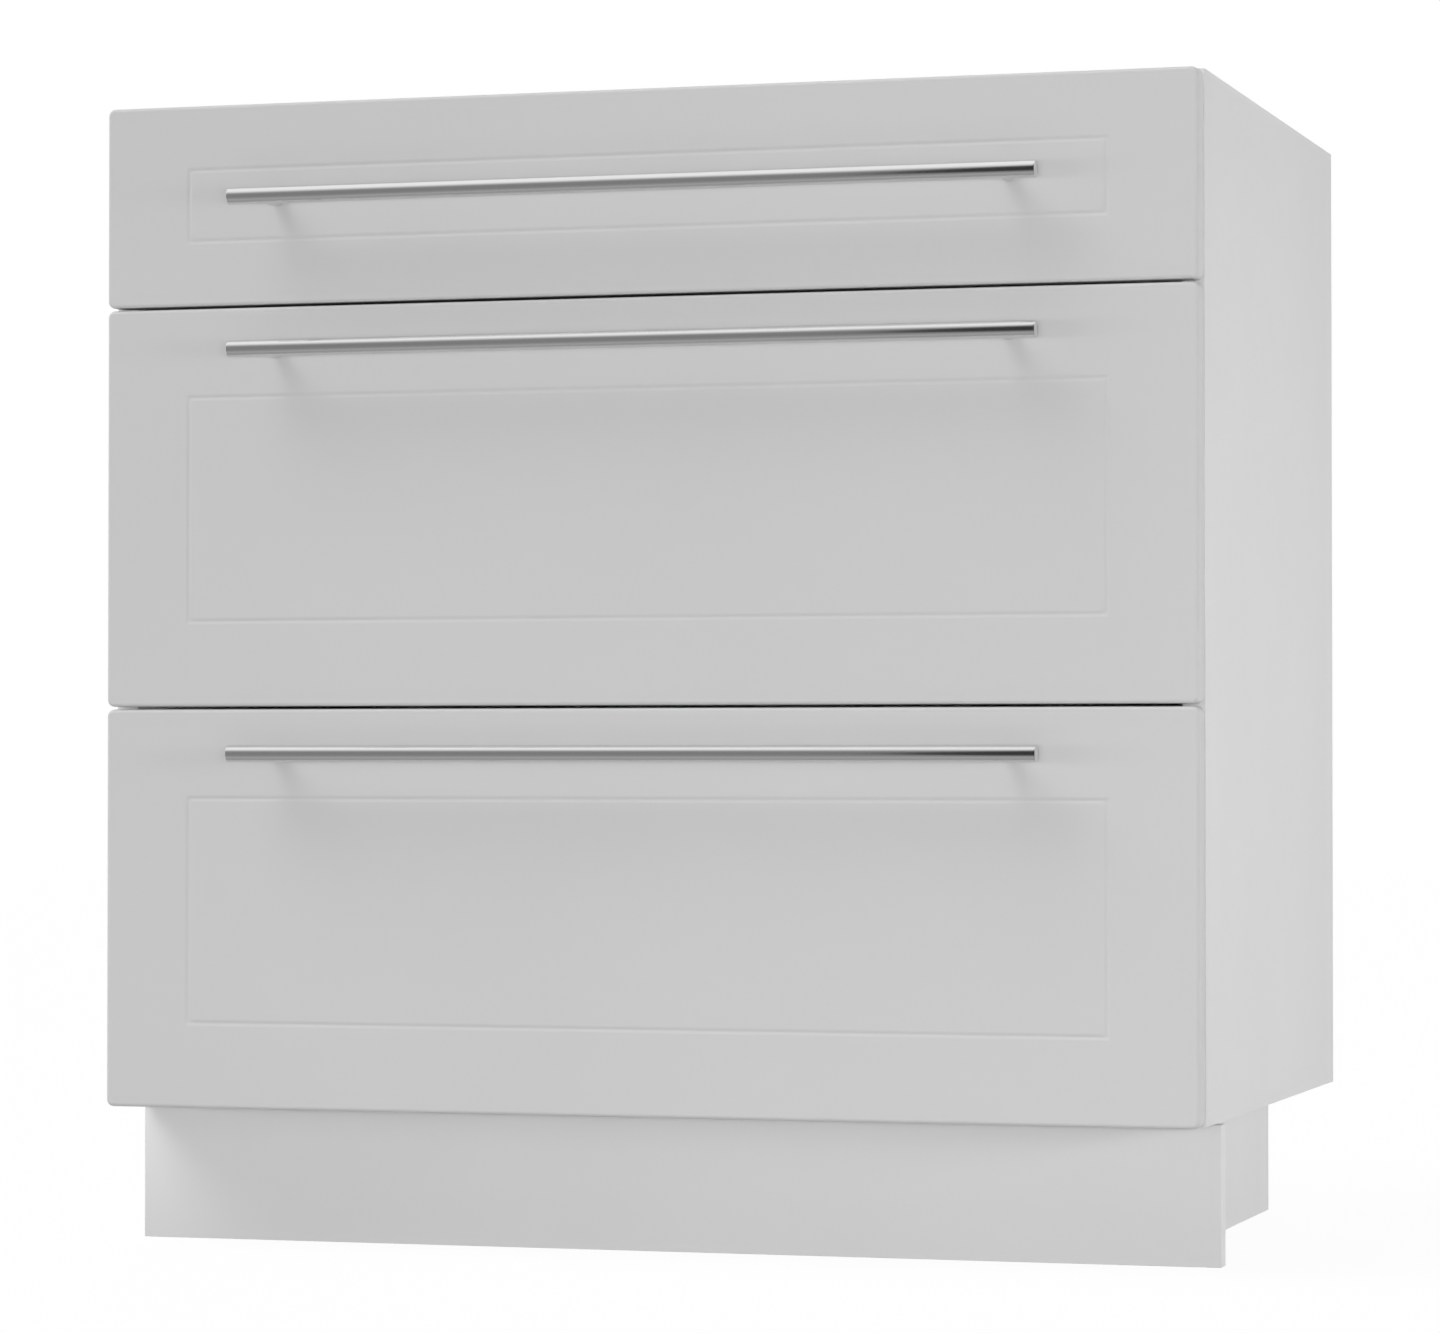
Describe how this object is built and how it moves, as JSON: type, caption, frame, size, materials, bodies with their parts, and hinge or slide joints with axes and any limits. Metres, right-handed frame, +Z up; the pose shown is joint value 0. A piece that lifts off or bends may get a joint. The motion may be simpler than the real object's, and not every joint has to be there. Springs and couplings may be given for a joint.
{
  "type": "kitchen base cabinet",
  "caption": "Kitchen base cabinet with full-extension drawers behind grooved fronts with round bar handles, on a recessed plinth over screw feet.",
  "frame": {"origin": "on the floor, under the middle of the overall box", "axes": "+X to the right as seen from the front, +Y to the back, +Z up; the drawers open towards -Y"},
  "size_m": [0.8, 0.563, 0.82],
  "materials": {
    "front_board": "fibreboard with matt white film",
    "carcass_board": "chipboard with white melamine faces and edges",
    "back_board": "white-faced hardboard",
    "handle_steel": "satin stainless steel",
    "runner_steel": "bright zinc plating",
    "leg_plastic": "black moulded plastic"
  },
  "bodies": {
    "cabinet": {"side_panel_left": "carcass_board", "side_panel_right": "carcass_board", "bottom_panel": "carcass_board", "front_rail": "carcass_board", "rear_rail": "carcass_board", "back_panel": "back_board", "plinth_front": "carcass_board", "plinth_left": "carcass_board", "plinth_right": "carcass_board", "leg_front_left": "leg_plastic", "leg_front_right": "leg_plastic", "leg_rear_left": "leg_plastic", "leg_rear_right": "leg_plastic", "lower_runner_cabinet_member_left": "runner_steel", "lower_runner_cabinet_member_right": "runner_steel", "middle_runner_cabinet_member_left": "runner_steel", "middle_runner_cabinet_member_right": "runner_steel", "upper_runner_cabinet_member_left": "runner_steel", "upper_runner_cabinet_member_right": "runner_steel"},
    "lower_drawer": {"lower_drawer_front": "front_board", "lower_drawer_handle": "handle_steel", "lower_drawer_side_left": "carcass_board", "lower_drawer_side_right": "carcass_board", "lower_drawer_bottom": "carcass_board", "lower_drawer_back": "carcass_board", "lower_runner_drawer_member_left": "runner_steel", "lower_runner_drawer_member_right": "runner_steel"},
    "middle_drawer": {"middle_drawer_front": "front_board", "middle_drawer_handle": "handle_steel", "middle_drawer_side_left": "carcass_board", "middle_drawer_side_right": "carcass_board", "middle_drawer_bottom": "carcass_board", "middle_drawer_back": "carcass_board", "middle_runner_drawer_member_left": "runner_steel", "middle_runner_drawer_member_right": "runner_steel"},
    "upper_drawer": {"upper_drawer_front": "front_board", "upper_drawer_handle": "handle_steel", "upper_drawer_side_left": "carcass_board", "upper_drawer_side_right": "carcass_board", "upper_drawer_bottom": "carcass_board", "upper_drawer_back": "carcass_board", "upper_runner_drawer_member_left": "runner_steel", "upper_runner_drawer_member_right": "runner_steel"},
    "lower_intermediate_members": {"lower_runner_intermediate_member_left": "runner_steel", "lower_runner_intermediate_member_right": "runner_steel"},
    "middle_intermediate_members": {"middle_runner_intermediate_member_left": "runner_steel", "middle_runner_intermediate_member_right": "runner_steel"},
    "upper_intermediate_members": {"upper_runner_intermediate_member_left": "runner_steel", "upper_runner_intermediate_member_right": "runner_steel"},
    "lower_ball_cages": {"lower_runner_ball_cage_left": "runner_steel", "lower_runner_ball_cage_right": "runner_steel"},
    "middle_ball_cages": {"middle_runner_ball_cage_left": "runner_steel", "middle_runner_ball_cage_right": "runner_steel"},
    "upper_ball_cages": {"upper_runner_ball_cage_left": "runner_steel", "upper_runner_ball_cage_right": "runner_steel"},
    "foot_front_left": {"foot_front_left": "leg_plastic"},
    "foot_front_right": {"foot_front_right": "leg_plastic"},
    "foot_rear_left": {"foot_rear_left": "leg_plastic"},
    "foot_rear_right": {"foot_rear_right": "leg_plastic"}
  },
  "joints": [
    {"name": "lower_drawer_slide", "type": "slide", "parent": "cabinet", "child": "lower_drawer", "axis": [0, -1, 0], "range_m": [0, 0.45]},
    {"name": "middle_drawer_slide", "type": "slide", "parent": "cabinet", "child": "middle_drawer", "axis": [0, -1, 0], "range_m": [0, 0.45]},
    {"name": "upper_drawer_slide", "type": "slide", "parent": "cabinet", "child": "upper_drawer", "axis": [0, -1, 0], "range_m": [0, 0.45]},
    {"name": "lower_intermediate_members_slide", "type": "slide", "parent": "cabinet", "child": "lower_intermediate_members", "axis": [0, -1, 0], "range_m": [0, 0.225]},
    {"name": "middle_intermediate_members_slide", "type": "slide", "parent": "cabinet", "child": "middle_intermediate_members", "axis": [0, -1, 0], "range_m": [0, 0.225]},
    {"name": "upper_intermediate_members_slide", "type": "slide", "parent": "cabinet", "child": "upper_intermediate_members", "axis": [0, -1, 0], "range_m": [0, 0.225]},
    {"name": "lower_ball_cages_slide", "type": "slide", "parent": "cabinet", "child": "lower_ball_cages", "axis": [0, -1, 0], "range_m": [0, 0.1125]},
    {"name": "middle_ball_cages_slide", "type": "slide", "parent": "cabinet", "child": "middle_ball_cages", "axis": [0, -1, 0], "range_m": [0, 0.1125]},
    {"name": "upper_ball_cages_slide", "type": "slide", "parent": "cabinet", "child": "upper_ball_cages", "axis": [0, -1, 0], "range_m": [0, 0.1125]},
    {"name": "foot_front_left_screw", "type": "slide", "parent": "cabinet", "child": "foot_front_left", "axis": [0, 0, -1], "range_m": [0, 0.02]},
    {"name": "foot_front_right_screw", "type": "slide", "parent": "cabinet", "child": "foot_front_right", "axis": [0, 0, -1], "range_m": [0, 0.02]},
    {"name": "foot_rear_left_screw", "type": "slide", "parent": "cabinet", "child": "foot_rear_left", "axis": [0, 0, -1], "range_m": [0, 0.02]},
    {"name": "foot_rear_right_screw", "type": "slide", "parent": "cabinet", "child": "foot_rear_right", "axis": [0, 0, -1], "range_m": [0, 0.02]}
  ],
  "couplings": [
    {"joint": "lower_intermediate_members_slide", "follows": "lower_drawer_slide", "ratio": 0.5},
    {"joint": "middle_intermediate_members_slide", "follows": "middle_drawer_slide", "ratio": 0.5},
    {"joint": "upper_intermediate_members_slide", "follows": "upper_drawer_slide", "ratio": 0.5},
    {"joint": "lower_ball_cages_slide", "follows": "lower_drawer_slide", "ratio": 0.25},
    {"joint": "middle_ball_cages_slide", "follows": "middle_drawer_slide", "ratio": 0.25},
    {"joint": "upper_ball_cages_slide", "follows": "upper_drawer_slide", "ratio": 0.25}
  ]
}
